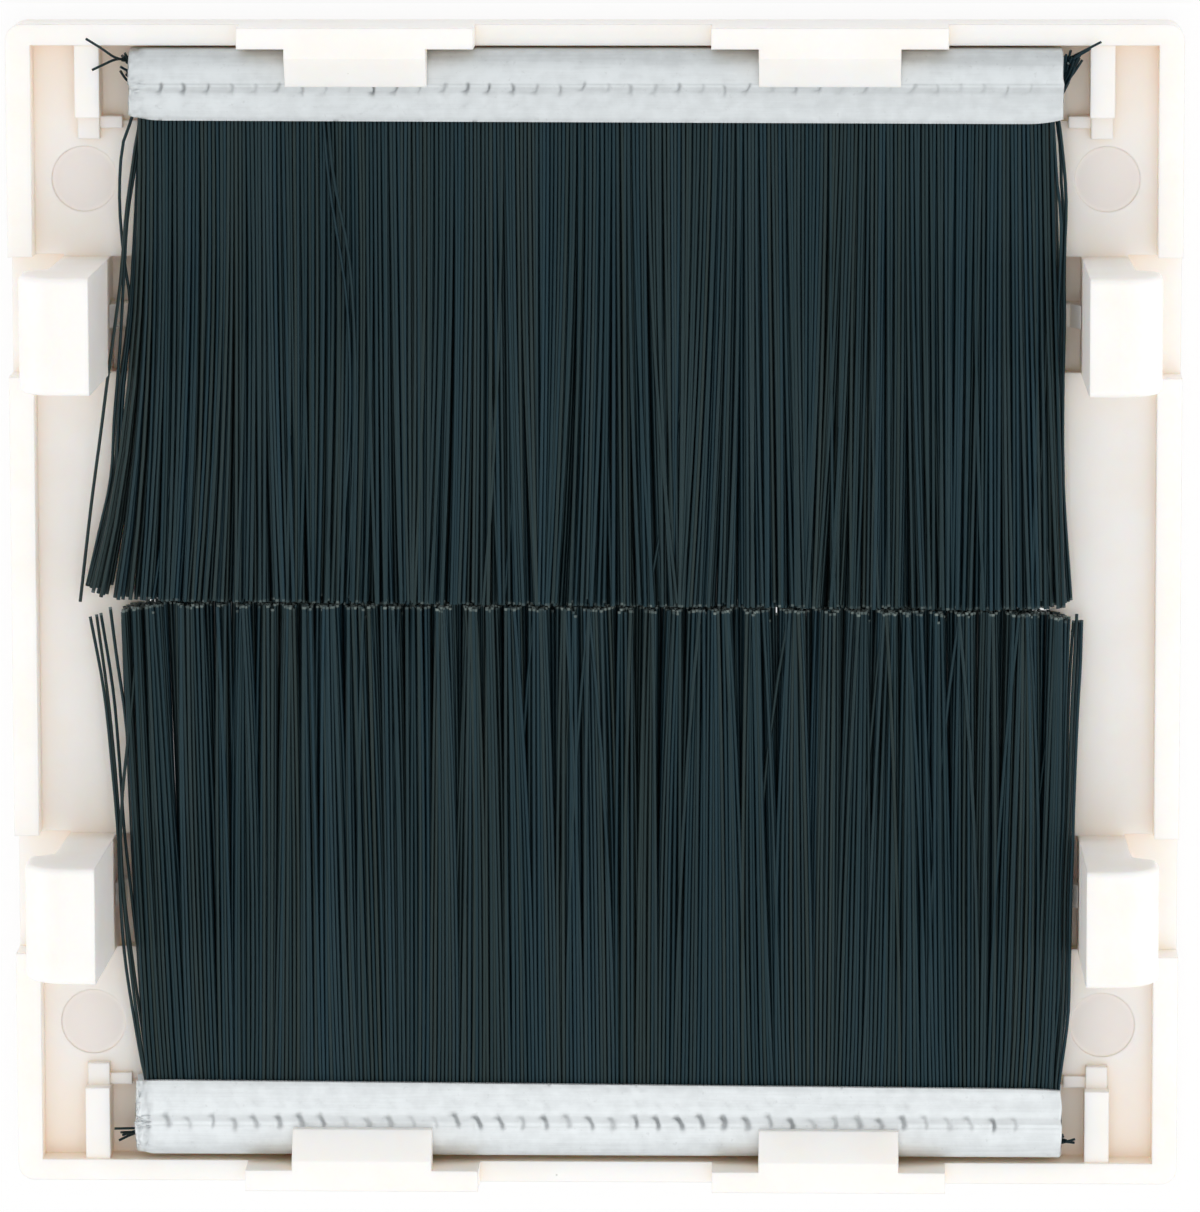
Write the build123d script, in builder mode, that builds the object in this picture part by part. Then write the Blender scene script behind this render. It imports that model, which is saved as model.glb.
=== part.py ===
"""Square snap-in brush module for a wall plate, 50 x 50 mm. All sizes are in millimetres.

The visible front face lies flat on z = 0. The back, with its clips, faces +Z. Two strip brushes
close the window, one from above (+Y) and one from below (-Y), and their tips meet near y = 0.
"""
import os
from math import pi, sin, sqrt
from random import Random

from build123d import *

os.makedirs("parts", exist_ok=True)

# Moulded frame: front plate and the low wall around it
module_width = 50.0
module_height = 50.0
plate_thickness = 1.8
rim_height = 3.2
side_wall = 1.06
end_wall = 0.9
outer_corner_radius = 0.7
front_edge_radius = 0.4
window_corner_radius = 0.5
window_edge_chamfer = 0.3

# Snap clips: four arms with outward hooks, which stand in cuts of the side walls
clip_pitch = 25.0
clip_width = 4.95
clip_inset = 2.3
clip_arm_thickness = 2.0
clip_arm_lean = 0.17
panel_grip = 3.9
clip_hook_reach = 1.08
clip_hook_rise = 0.8
clip_head_height = 3.8
clip_head_radius = 1.85
clip_edge_radius = 0.25
wall_cut_clearance = 0.1
wall_cut_depth = 0.5

# Relief pocket at the foot of each arm, bridged by a sloping rib
relief_depth = 0.7
relief_width = 1.3
relief_rib_width = 1.0
relief_rib_length = 0.75
relief_rib_flat = 0.3
relief_rib_low = 0.2
relief_rib_high = 1.1

# Strip brushes: a crimped metal channel on each, its mouth towards the window
channel_side_gap = 0.85
lower_channel_extra = 0.3
channel_depth = 3.0
channel_bulge_radius = 1.3
channel_mouth_height = 2.0
channel_crimp_depth = 1.1
channel_sheet = 0.35
channel_axis_height = 2.7
channel_side_shift = 0.08
upper_back_gap = 0.1
lower_back_gap = 0.25
upper_dent_pitch = 0.995
lower_dent_pitch = 0.96
dent_width = 0.2
dent_length = 0.5
dent_depth = 0.1
dent_offset = 0.1
fit_clearance = 0.05

# Tabs on the top and bottom walls, each with a hook that holds a brush down
tab_spacing = 20.04
tab_length = 10.0
tab_hook_width = 6.0
tab_hook_reach = 1.65
tab_hook_land = 0.4
tab_hook_tip = 0.5
tab_hook_root = 1.28

# Corner ribs beside the ends of the brushes
corner_rib_gap = 1.1
corner_rib_thickness = 1.05
corner_rib_rise = 1.2
corner_block_length = 0.95
corner_block_inset = 0.06
corner_block_rise = 0.5
stop_rib_thickness = 0.5
stop_rib_rise = 0.3
stop_rib_start = 3.1
seat_land = 0.35

# Round ejector marks in the back of the plate
ejector_radius = 1.4
ejector_depth = 0.08
ejector_inset = 3.2
ejector_spacing = 36.6

# Core wire of each brush, round which its filaments are folded
core_wire_radius = 0.45
core_wire_recess = 0.4

# Filaments, gathered into tapering strands that lie in two layers
strand_count = 50
layer_count = 2
layer_gap = 0.1
strand_root_fill = 0.86
strand_tip_fill = 0.74
strand_root_depth = 0.5
pack_end_margin = 0.25
pack_splay = 1.02
clump_lean = 0.12
clump_strands = 4.4
seam_y = 0.18
seam_gap = 0.16
ragged_length = 0.35
loose_strand_width = 0.2
loose_strand_gap = 0.55
loose_strand_lean = 1.5

# Places that follow from the sizes above
half_width = module_width / 2
half_height = module_height / 2
wall_inner_x = half_width - side_wall
wall_inner_y = half_height - end_wall
arm_outer_x = half_width - clip_inset
arm_inner_x = arm_outer_x - clip_arm_thickness
window_half_x = arm_inner_x - relief_width
upper_channel_length = 2 * (arm_inner_x - channel_side_gap)
lower_channel_length = upper_channel_length + lower_channel_extra
clip_ledge_z = rim_height + panel_grip
clip_top_z = clip_ledge_z + clip_head_height
clip_tip_x = arm_outer_x + clip_arm_lean + clip_hook_reach
seat_floor_z = channel_axis_height - channel_bulge_radius
seat_front_y = wall_inner_y - max(upper_back_gap, lower_back_gap) - channel_depth - fit_clearance
window_half_y = seat_front_y - seat_land
stop_rib_y = wall_inner_y - stop_rib_start
rib_inner_x = upper_channel_length / 2 + channel_side_shift + corner_rib_gap
hook_under_z = channel_axis_height + channel_bulge_radius + fit_clearance
tab_top_z = hook_under_z + tab_hook_root
pack_half_height = channel_mouth_height / 2 - channel_sheet - fit_clearance
pack_width = upper_channel_length - 2 * pack_end_margin
layer_thickness = (2 * pack_half_height - (layer_count - 1) * layer_gap) / layer_count
strand_pitch = pack_width / (strand_count + (layer_count - 1) / layer_count)

with BuildPart() as frame:
    # Plate and walls in one block, hollowed from behind
    with BuildSketch(Plane.XY):
        RectangleRounded(module_width, module_height, outer_corner_radius)
    extrude(amount=rim_height)
    with BuildSketch(Plane.XY.offset(plate_thickness)):
        Rectangle(2 * wall_inner_x, 2 * wall_inner_y)
    extrude(amount=rim_height - plate_thickness, mode=Mode.SUBTRACT)

    # Window, with its front edge broken and the plate's own front edge rounded
    with BuildSketch(Plane.XY):
        RectangleRounded(2 * window_half_x, 2 * window_half_y, window_corner_radius)
    extrude(amount=plate_thickness, mode=Mode.SUBTRACT)
    front_face = frame.faces().sort_by(Axis.Z)[0]
    chamfer(front_face.inner_wires()[0].edges(), window_edge_chamfer)
    front_face = frame.faces().sort_by(Axis.Z)[0]
    fillet(front_face.outer_wire().edges(), front_edge_radius)

    # Seats of the two brushes, which run on as pockets to the corner ribs
    seat_width = wall_inner_y - seat_front_y
    with BuildSketch(Plane.XY.offset(seat_floor_z)):
        with GridLocations(0, 2 * wall_inner_y - seat_width, 1, 2):
            Rectangle(2 * rib_inner_x, seat_width)
    extrude(amount=plate_thickness - seat_floor_z, mode=Mode.SUBTRACT)

    # Corner ribs, the lower block that carries each on, and the stop rib that runs in from it
    rib_length = wall_inner_y - stop_rib_y
    rib_spacing_x = 2 * rib_inner_x + corner_rib_thickness
    with BuildSketch(Plane.XY.offset(plate_thickness)):
        with GridLocations(rib_spacing_x, 2 * wall_inner_y - rib_length, 2, 2):
            Rectangle(corner_rib_thickness, rib_length)
    extrude(amount=corner_rib_rise)
    with BuildSketch(Plane.XY.offset(plate_thickness)):
        with GridLocations(rib_spacing_x, 2 * stop_rib_y - corner_block_length, 2, 2):
            Rectangle(corner_rib_thickness - 2 * corner_block_inset, corner_block_length)
    extrude(amount=corner_block_rise)
    stop_rib_inner_x = lower_channel_length / 2 + channel_side_shift + fit_clearance
    stop_rib_length = rib_inner_x + corner_block_inset - stop_rib_inner_x
    with BuildSketch(Plane.XY.offset(seat_floor_z)):
        with GridLocations(2 * stop_rib_inner_x + stop_rib_length, 2 * stop_rib_y - stop_rib_thickness, 2, 2):
            Rectangle(stop_rib_length, stop_rib_thickness)
    extrude(amount=plate_thickness + stop_rib_rise - seat_floor_z)

    # Cuts in the side walls, and relief pockets on the window side of each arm
    cut_length = half_width - arm_outer_x
    with BuildSketch(Plane.XY.offset(plate_thickness - wall_cut_depth)):
        with GridLocations(module_width - cut_length, clip_pitch, 2, 2):
            Rectangle(cut_length, clip_width + 2 * wall_cut_clearance)
    extrude(amount=rim_height - plate_thickness + wall_cut_depth, mode=Mode.SUBTRACT)
    with BuildSketch(Plane.XY.offset(plate_thickness - relief_depth)):
        with GridLocations(2 * arm_inner_x - relief_width, clip_pitch, 2, 2):
            Rectangle(relief_width, clip_width)
    extrude(amount=relief_depth, mode=Mode.SUBTRACT)

    # Clip arms with their hooks, and the rib that bridges each relief pocket
    for row in (-1, 1):
        with BuildSketch(Plane.XZ.offset(row * clip_pitch / 2)):
            with BuildLine():
                foot = Polyline(
                    (clip_tip_x, clip_top_z - clip_head_radius),
                    (clip_tip_x, clip_ledge_z + clip_hook_rise),
                    (arm_outer_x + clip_arm_lean, clip_ledge_z),
                    (arm_outer_x, plate_thickness - wall_cut_depth),
                    (arm_inner_x, plate_thickness - relief_depth),
                    (arm_inner_x + clip_arm_lean, clip_top_z),
                    (clip_tip_x - clip_head_radius, clip_top_z),
                )
                TangentArc(foot @ 1, foot @ 0, tangent=(1, 0))
            make_face()
            mirror(about=Plane.YZ)
        extrude(amount=clip_width / 2, both=True)
        with BuildSketch(Plane.XZ.offset(row * clip_pitch / 2)):
            with BuildLine():
                Polyline(
                    (arm_inner_x, plate_thickness - relief_depth),
                    (arm_inner_x, plate_thickness + relief_rib_high),
                    (arm_inner_x - relief_rib_length + relief_rib_flat, plate_thickness + relief_rib_low),
                    (arm_inner_x - relief_rib_length, plate_thickness + relief_rib_low),
                    (arm_inner_x - relief_rib_length, plate_thickness - relief_depth),
                    close=True,
                )
            make_face()
            mirror(about=Plane.YZ)
        extrude(amount=relief_rib_width / 2, both=True)
    head_edges = frame.edges().filter_by(lambda edge: edge.center().Z > clip_ledge_z + clip_hook_rise)
    fillet(head_edges.filter_by(GeomType.CIRCLE), clip_edge_radius)

    # Tabs on the end walls, with the sloping hooks that reach over the brushes
    with BuildSketch(Plane.XY.offset(rim_height)):
        with GridLocations(tab_spacing, module_height - end_wall, 2, 2):
            Rectangle(tab_length, end_wall)
    extrude(amount=tab_top_z - rim_height)
    for column in (-1, 1):
        with BuildSketch(Plane.YZ.offset(column * tab_spacing / 2)):
            with BuildLine():
                Polyline(
                    (wall_inner_y, hook_under_z),
                    (wall_inner_y - tab_hook_reach, hook_under_z),
                    (wall_inner_y - tab_hook_reach, hook_under_z + tab_hook_tip),
                    (wall_inner_y - tab_hook_land, tab_top_z),
                    (wall_inner_y, tab_top_z),
                    close=True,
                )
            make_face()
            mirror(about=Plane.YZ)
        extrude(amount=tab_hook_width / 2, both=True)

    # Shallow round marks left by the ejector pins
    with BuildSketch(Plane.XY.offset(plate_thickness - ejector_depth)):
        with GridLocations(module_width - 2 * ejector_inset, ejector_spacing, 2, 2):
            Circle(ejector_radius)
    extrude(amount=ejector_depth, mode=Mode.SUBTRACT)
frame.part.label = "frame"
export_step(frame.part, "parts/frame.step")


def channel_section(side, back_gap, inset, mouth_reach):
    """The channel's section, made smaller by inset, from mouth_reach beyond its mouth."""
    mouth = wall_inner_y - back_gap - channel_depth
    crimp = mouth + channel_crimp_depth
    back = wall_inner_y - back_gap - inset
    radius = channel_bulge_radius - inset
    crimp_half = sqrt(radius**2 - (back - radius - crimp) ** 2)
    mouth_half = channel_mouth_height / 2 - inset
    lip_half = mouth_half - (crimp_half - mouth_half) / channel_crimp_depth * mouth_reach
    lip = mouth - mouth_reach
    top, bottom = channel_axis_height + crimp_half, channel_axis_height - crimp_half
    with BuildSketch() as section:
        with BuildLine():
            ThreePointArc((side * crimp, top), (side * back, channel_axis_height), (side * crimp, bottom))
            Polyline(
                (side * crimp, bottom),
                (side * lip, channel_axis_height - lip_half),
                (side * lip, channel_axis_height + lip_half),
                (side * crimp, top),
            )
        make_face()
    return section.sketch_local


def strand_points(side, back_gap, layer, rng):
    """Outline of one layer of strands, in even steps at the root and in loose clumps at the tips."""
    root_y = wall_inner_y - back_gap - channel_depth + strand_root_depth
    root_half = strand_pitch * strand_root_fill / 2
    tip_half = strand_pitch * strand_tip_fill / 2
    phase = rng.uniform(0, 2 * pi)
    points = []
    for strand in range(strand_count):
        root_x = (strand + 0.5 + layer / layer_count) * strand_pitch - pack_width / 2
        tip_x = root_x * pack_splay + clump_lean * sin(phase + 2 * pi * strand / clump_strands)
        points.append((root_x - root_half, side * root_y))
        for corner in (-tip_half, tip_half):
            tip_y = seam_y + side * (seam_gap / 2 + rng.uniform(0, ragged_length))
            points.append((tip_x + corner, tip_y))
        points.append((root_x + root_half, side * root_y))
    points.append((points[-1][0], side * (root_y + strand_root_depth)))
    points.append((points[0][0], side * (root_y + strand_root_depth)))
    return [(x + channel_side_shift, y) for x, y in points]


def loose_strand_points(side, back_gap):
    """Outline of the strand that has come loose at the left edge and bends round the clip's foot."""
    root_y = wall_inner_y - back_gap - channel_depth + 2 * strand_root_depth
    centres = [
        (loose_strand_width - pack_width / 2 + channel_side_shift, side * root_y),
        (loose_strand_gap - arm_inner_x, side * clip_pitch / 2),
        (loose_strand_gap - arm_inner_x - loose_strand_lean, seam_y + side * ragged_length),
    ]
    half = loose_strand_width / 2
    return [(x - half, y) for x, y in centres] + [(x + half, y) for x, y in reversed(centres)]


def make_brush(name, side, back_gap, channel_length, dent_pitch, rng):
    """Makes one strip brush: its metal channel, its core wire and its filaments."""
    back = wall_inner_y - back_gap
    crimp = back - channel_depth + channel_crimp_depth
    axis_y = side * (back - channel_bulge_radius)
    crimp_half = sqrt(channel_bulge_radius**2 - (back - channel_bulge_radius - crimp) ** 2)

    with BuildPart() as channel:
        with BuildSketch(Plane.YZ.offset(channel_side_shift - channel_length / 2)):
            add(channel_section(side, back_gap, 0, 0))
        extrude(amount=channel_length)
        with BuildSketch(Plane.YZ.offset(channel_side_shift - channel_length / 2)):
            add(channel_section(side, back_gap, channel_sheet, channel_mouth_height))
        extrude(amount=channel_length, mode=Mode.SUBTRACT)
        dent_count = int((channel_length - dent_pitch) / dent_pitch)
        with BuildSketch(Plane.XY.offset(channel_axis_height + crimp_half - dent_depth)):
            with Locations((channel_side_shift, side * (crimp + dent_offset))):
                with GridLocations(dent_pitch, 0, dent_count, 1):
                    Rectangle(dent_width, dent_length)
        extrude(amount=channel_bulge_radius, mode=Mode.SUBTRACT)
    channel.part.label = f"{name}_channel"
    export_step(channel.part, f"parts/{name}_channel.step")

    with BuildPart() as core_wire:
        with BuildSketch(Plane.YZ.offset(channel_side_shift - channel_length / 2 + core_wire_recess)):
            with Locations((axis_y, channel_axis_height)):
                Circle(core_wire_radius)
        extrude(amount=channel_length - 2 * core_wire_recess)
    core_wire.part.label = f"{name}_core_wire"
    export_step(core_wire.part, f"parts/{name}_core_wire.step")

    with BuildPart() as bristles:
        with BuildSketch(Plane.YZ.offset(channel_side_shift - pack_width / 2)):
            add(channel_section(side, back_gap, channel_sheet + fit_clearance, -strand_root_depth))
            with Locations((axis_y, channel_axis_height)):
                Circle(core_wire_radius + fit_clearance, mode=Mode.SUBTRACT)
        extrude(amount=pack_width)
        for layer in range(layer_count):
            layer_z = channel_axis_height - pack_half_height + layer * (layer_thickness + layer_gap)
            with BuildSketch(Plane.XY.offset(layer_z)):
                with BuildLine():
                    Polyline(strand_points(side, back_gap, layer, rng), close=True)
                make_face()
            extrude(amount=layer_thickness)
        with BuildSketch(Plane.XY.offset(layer_z)):
            with BuildLine():
                Polyline(loose_strand_points(side, back_gap), close=True)
            make_face()
        extrude(amount=layer_thickness)
    bristles.part.label = f"{name}_bristles"
    export_step(bristles.part, f"parts/{name}_bristles.step")


make_brush("upper", 1, upper_back_gap, upper_channel_length, upper_dent_pitch, Random(11))
make_brush("lower", -1, lower_back_gap, lower_channel_length, lower_dent_pitch, Random(23))
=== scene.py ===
"""Looks of the snap-in brush module: its moulding, crimped metal channels, nylon filaments and stage.

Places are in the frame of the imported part: the front face lies on z = 0, the clips point to +Z, and the
upper brush's channel is on the +Y side. Lengths are in metres on the stage and in the properties, and in
millimetres in the tables of points and forms.
"""

from math import cos, pi, sin, tau
from typing import NamedTuple

import bpy
import numpy as np
from bpy.props import FloatProperty, FloatVectorProperty, IntProperty, PointerProperty
from bpy.types import Operator, Panel, PropertyGroup
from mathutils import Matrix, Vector


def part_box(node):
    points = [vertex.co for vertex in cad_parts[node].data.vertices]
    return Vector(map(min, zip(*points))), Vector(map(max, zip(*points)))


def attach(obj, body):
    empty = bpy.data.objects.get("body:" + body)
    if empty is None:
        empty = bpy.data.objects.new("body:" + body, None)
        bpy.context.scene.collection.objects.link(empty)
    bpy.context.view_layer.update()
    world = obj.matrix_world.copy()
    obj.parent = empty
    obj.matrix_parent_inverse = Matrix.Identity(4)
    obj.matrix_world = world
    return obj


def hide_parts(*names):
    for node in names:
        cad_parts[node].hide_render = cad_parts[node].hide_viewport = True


bl_info = {
    "name": "Brush Module Dresser",
    "version": (1, 0, 0),
    "blender": (4, 5, 0),
    "location": "View3D > Sidebar > Brush Module",
    "description": "Builds the filaments, channels and finishes of a snap-in brush module",
    "category": "Object",
}

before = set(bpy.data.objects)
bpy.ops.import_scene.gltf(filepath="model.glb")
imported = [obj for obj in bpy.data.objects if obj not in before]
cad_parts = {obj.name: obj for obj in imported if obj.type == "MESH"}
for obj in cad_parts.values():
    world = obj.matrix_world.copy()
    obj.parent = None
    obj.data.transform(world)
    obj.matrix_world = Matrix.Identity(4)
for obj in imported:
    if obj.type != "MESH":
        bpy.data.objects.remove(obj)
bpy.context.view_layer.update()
MM = 0.001

# Height of the camera's sensor and length of its lens in millimetres, and the shift of its picture
CAMERA_SENSOR, CAMERA_LENS, CAMERA_SHIFT = 24.0, 168.54, (0.0003, -0.0078)

# How the filaments differ in shade: a size and widths in millimetres of the waves, then the mean and the spread
TONE_WAVES, TONE_MEAN, TONE_SPREAD = (0.08, (1.7, 2.9, 5.3, 11.0)), 0.48, 0.13
WARMTH_WAVES, WARMTH_MEAN, WARMTH_SPREAD = (0.12, (3.7, 8.3)), 0.30, 0.33
# Spread of the painted highlight on the cut ends
CUT_HIGHLIGHT_SPREAD = 0.3
# Towards the left edge the filaments are browner: its x, how much browner and over what width, in millimetres
LEFT_EDGE, EDGE_WARMTH, EDGE_FADE = -19.4, 0.35, 1.5
# Angles from which an edge of a tube and of a channel's sheet is sharp
TUBE_EDGE, SHEET_EDGE = pi * 0.42, pi * 0.3
# Length in millimetres of a filament's last step, the only one that takes the painted highlight of the cut end
END_STEP = 0.1


def length_property(name, description, millimetres):
    """A length, given in millimetres and kept in metres."""
    return FloatProperty(name=name, description=description, default=millimetres * MM, unit="LENGTH", precision=6)


def colour_property(name, description, levels):
    """A colour of three linear levels."""
    return FloatVectorProperty(name=name, description=description, default=levels, subtype="COLOR", size=3)


class BrushSettings(PropertyGroup):
    filaments_per_layer: IntProperty(
        name="Filaments per layer", description="Filaments side by side in one layer of a brush", default=237, min=2
    )
    layers: IntProperty(name="Layers", description="Layers of filaments, one above the other", default=7, min=2)
    filament_radius: length_property("Filament radius", "Radius of one nylon filament", 0.082)
    filament_sides: IntProperty(name="Filament sides", description="Sides of a filament's section", default=6, min=3)
    filament_rings: IntProperty(name="Filament rings", description="Rings along a filament", default=9, min=4)
    loose_rings: IntProperty(name="Loose rings", description="Rings along a loose strand", default=28, min=4)
    upper_clumping: FloatProperty(
        name="Upper clumping", description="How far the upper tips gather into clumps", default=0.25, subtype="FACTOR"
    )
    lower_clumping: FloatProperty(
        name="Lower clumping", description="How far the lower tips gather into clumps", default=0.50, subtype="FACTOR"
    )
    ragged_cut: length_property("Ragged cut", "How unevenly the tips are cut", 0.07)
    nylon_dark: colour_property("Nylon, dark", "Darkest filaments", (0.002, 0.008, 0.010))
    nylon_light: colour_property("Nylon, light", "Lightest filaments", (0.011, 0.029, 0.043))
    nylon_warm: colour_property("Nylon, warm", "Brownish filaments", (0.021, 0.024, 0.017))
    # Painted highlight: the lighter colour of the cut ends, where they catch the light
    cut_highlight_colour: colour_property("Cut ends", "Whitened ends that the shears left", (0.16, 0.19, 0.18))


class ChannelSettings(PropertyGroup):
    sheet: length_property("Sheet", "Thickness of the channels' metal strip", 0.35)
    upper_crimp_pitch: length_property("Upper crimp pitch", "Distance between the upper channel's crimp marks", 0.995)
    lower_crimp_pitch: length_property("Lower crimp pitch", "Distance between the lower channel's crimp marks", 0.96)
    crimp_depth: length_property("Crimp depth", "Depth of the deepest crimp marks", 0.13)
    upper_metal: colour_property("Upper metal", "Colour of the upper channel's plating", (0.63, 0.665, 0.68))
    lower_metal: colour_property("Lower metal", "Colour of the lower channel's plating", (0.725, 0.76, 0.775))
    wire: colour_property("Wire", "Colour of the drawn core wire", (0.40, 0.40, 0.41))


class MouldingSettings(PropertyGroup):
    plastic: colour_property("Plastic", "Colour of the moulding", (0.955, 0.922, 0.896))
    # Painted shade: the warm darker colour that the ambient occlusion puts into deep recesses
    recess_painted_shade: colour_property("Recess", "Warm tint that deep recesses take on", (0.97, 0.84, 0.72))
    ejector_place: FloatVectorProperty(
        name="Ejector marks",
        description="Place of each round ejector mark from the middle",
        default=(0.0218, 0.0183, 0.0),
        subtype="XYZ",
        unit="LENGTH",
    )
    edge_radius: length_property("Edge radius", "Softness of the moulding's edges", 0.09)
    grain_depth: length_property("Grain depth", "Depth of the mould's fine grain", 0.004)


class StageSettings(PropertyGroup):
    camera_place: FloatVectorProperty(
        name="Camera",
        description="Place of the camera",
        default=(0.0116965, 0.0523072, 0.3630602),
        subtype="XYZ",
        unit="LENGTH",
    )
    camera_turn: FloatVectorProperty(
        name="Camera turn",
        description="Turn of the camera",
        default=(-0.1429, 0.0316, -0.0023),
        subtype="EULER",
        unit="ROTATION",
    )
    floor_colour: colour_property("Floor", "Colour of the floor", (0.94, 0.94, 0.94))
    lamp_power: FloatProperty(
        name="Lamp power", description="Power that the softboxes share", default=1.44, min=0.0, unit="POWER"
    )
    sky_level: FloatProperty(
        name="Sky level", description="Strength of the light from all round", default=0.835, min=0.0
    )


class Shade:
    """A socket in a material's node tree. An expression on shades adds its Math nodes."""

    def __init__(self, tree, socket=None):
        self.tree = tree
        self.socket = socket

    def node(self, kind, settings, inputs, output=0):
        """Adds a node: its settings first, then the values or links of its sockets."""
        added = self.tree.nodes.new(kind)
        for name, value in settings.items():
            setattr(added, name, value)
        for key, value in inputs.items():
            if isinstance(value, Shade):
                self.tree.links.new(value.socket, added.inputs[key])
            else:
                added.inputs[key].default_value = value
        return Shade(self.tree, added.outputs[output])

    def maths(self, operation, first, second):
        return self.node("ShaderNodeMath", {"operation": operation}, {0: first, 1: second})

    def __add__(self, other):
        return self.maths("ADD", self, other)

    def __sub__(self, other):
        return self.maths("SUBTRACT", self, other)

    def __rsub__(self, other):
        return self.maths("SUBTRACT", other, self)

    def __mul__(self, other):
        return self.maths("MULTIPLY", self, other)

    __radd__ = __add__
    __rmul__ = __mul__


def mix(factor, first, second):
    """Mixes two colours by a shade."""
    pair = [value if isinstance(value, Shade) else (*value[:3], 1.0) for value in (first, second)]
    settings = {"data_type": "RGBA", "clamp_factor": True}
    return factor.node("ShaderNodeMix", settings, {0: factor, 6: pair[0], 7: pair[1]}, output=2)


def in_millimetres(shades, stretch=(1.0, 1.0, 1.0)):
    """Places on the piece in millimetres, stretched along each axis."""
    place = shades.node("ShaderNodeTexCoord", {}, {}, output="Object")
    factors = tuple(factor / MM for factor in stretch)
    return shades.node("ShaderNodeVectorMath", {"operation": "MULTIPLY"}, {0: place, 1: factors})


def dimmed(colour, share):
    """A darker shade of a colour, by one share or by one for each of its levels."""
    shares = share if isinstance(share, tuple) else (share,) * 3
    return tuple(level * part for level, part in zip(colour, shares))


def noise(place, scale, detail=2.0, roughness=0.5):
    inputs = {"Vector": place, "Scale": scale, "Detail": detail, "Roughness": roughness}
    return place.node("ShaderNodeTexNoise", {}, inputs)


def between(shade, low, high, start=0.0, end=1.0):
    """Start below low, end above high, and a smooth change between them."""
    inputs = {"Value": shade, "From Min": low, "From Max": high, "To Min": start, "To Max": end}
    return shade.node("ShaderNodeMapRange", {"interpolation_type": "SMOOTHSTEP"}, inputs)


def background_rays(start):
    """One for rays that see the background: from the camera, off gloss and through clear pieces."""
    camera, glossy, transmission = (
        start.node("ShaderNodeLightPath", {}, {}, output=f"Is {kind} Ray")
        for kind in ("Camera", "Glossy", "Transmission")
    )
    return start.maths("MAXIMUM", start.maths("MAXIMUM", camera, glossy), transmission)


def start_material(name):
    """A new material's first shade and its Principled shader."""
    material = bpy.data.materials.new(name)
    material.use_nodes = True
    shader = next(node for node in material.node_tree.nodes if node.type == "BSDF_PRINCIPLED")
    return material, Shade(material.node_tree), shader


def feed(shader, shades):
    for name, shade in shades.items():
        shade.tree.links.new(shade.socket, shader.inputs[name])


def moulded_plastic(settings):
    """Warm white plastic with a fine mould grain, softened edges, a few specks of dust and a painted warm shade in
    deep recesses.
    """
    material, start, shader = start_material("moulded_plastic")
    place = in_millimetres(start)
    cloud = noise(place, 0.35, 3.0)
    grain = noise(place, 9.0, 3.0, 0.6)
    warm = dimmed(settings.plastic, (0.985, 0.972, 0.952))
    colour = mix(between(cloud, 0.35, 0.7), settings.plastic, warm)
    speck_spread = start.node("ShaderNodeTexVoronoi", {"feature": "F1"}, {"Vector": place, "Scale": 0.42})
    speck = between(speck_spread, 0.02, 0.035, 1.0, 0.0) * between(noise(place, 0.9), 0.50, 0.56)
    dust = (0.28, 0.24, 0.20)
    colour = mix(speck * 0.55, colour, dust)
    # Painted shade: where the ambient occlusion finds deep recesses, they take a warm darker colour
    painted_shade_openness = start.node("ShaderNodeAmbientOcclusion", {"samples": 4}, {"Distance": 3.0 * MM}, output="AO")
    colour = mix(between(painted_shade_openness, 0.12, 0.80), settings.recess_painted_shade, colour)
    colour = mix(ejector_marks(start, place, settings) * 0.8, colour, dimmed(settings.plastic, (0.91, 0.885, 0.87)))
    soft_edge = start.node("ShaderNodeBevel", {"samples": 4}, {"Radius": settings.edge_radius})
    bump_inputs = {"Strength": 0.7, "Distance": settings.grain_depth, "Height": grain, "Normal": soft_edge}
    grained = start.node("ShaderNodeBump", {}, bump_inputs)
    feed(shader, {"Base Color": colour, "Roughness": between(grain, 0.3, 0.7, 0.40, 0.52), "Normal": grained})
    shader.inputs["IOR"].default_value = 1.46
    shader.inputs["Subsurface Weight"].default_value = 0.45
    shader.inputs["Subsurface Scale"].default_value = 1.1 * MM
    shader.inputs["Subsurface Radius"].default_value = (1.0, 0.72, 0.5)
    return material


def ejector_marks(start, place, settings):
    """One on the four round ejector marks, which lie alike in each corner of the plate's back."""
    inner, outer = 1.15, 1.50  # millimetres from a mark's middle, between which it fades
    plate_low, plate_high = 1.0, 1.2  # heights between which the plate's back is told from its front
    folded = start.node("ShaderNodeVectorMath", {"operation": "ABSOLUTE"}, {0: place})
    middle = tuple(length / MM for length in settings.ejector_place)
    offset = start.node("ShaderNodeVectorMath", {"operation": "SUBTRACT"}, {0: folded, 1: middle})
    level = start.node("ShaderNodeVectorMath", {"operation": "MULTIPLY"}, {0: offset, 1: (1.0, 1.0, 0.0)})
    away = start.node("ShaderNodeVectorMath", {"operation": "LENGTH"}, {0: level}, output="Value")
    height = start.node("ShaderNodeSeparateXYZ", {}, {0: place}, output="Z")
    return between(away, inner, outer, 1.0, 0.0) * between(height, plate_low, plate_high)


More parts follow.
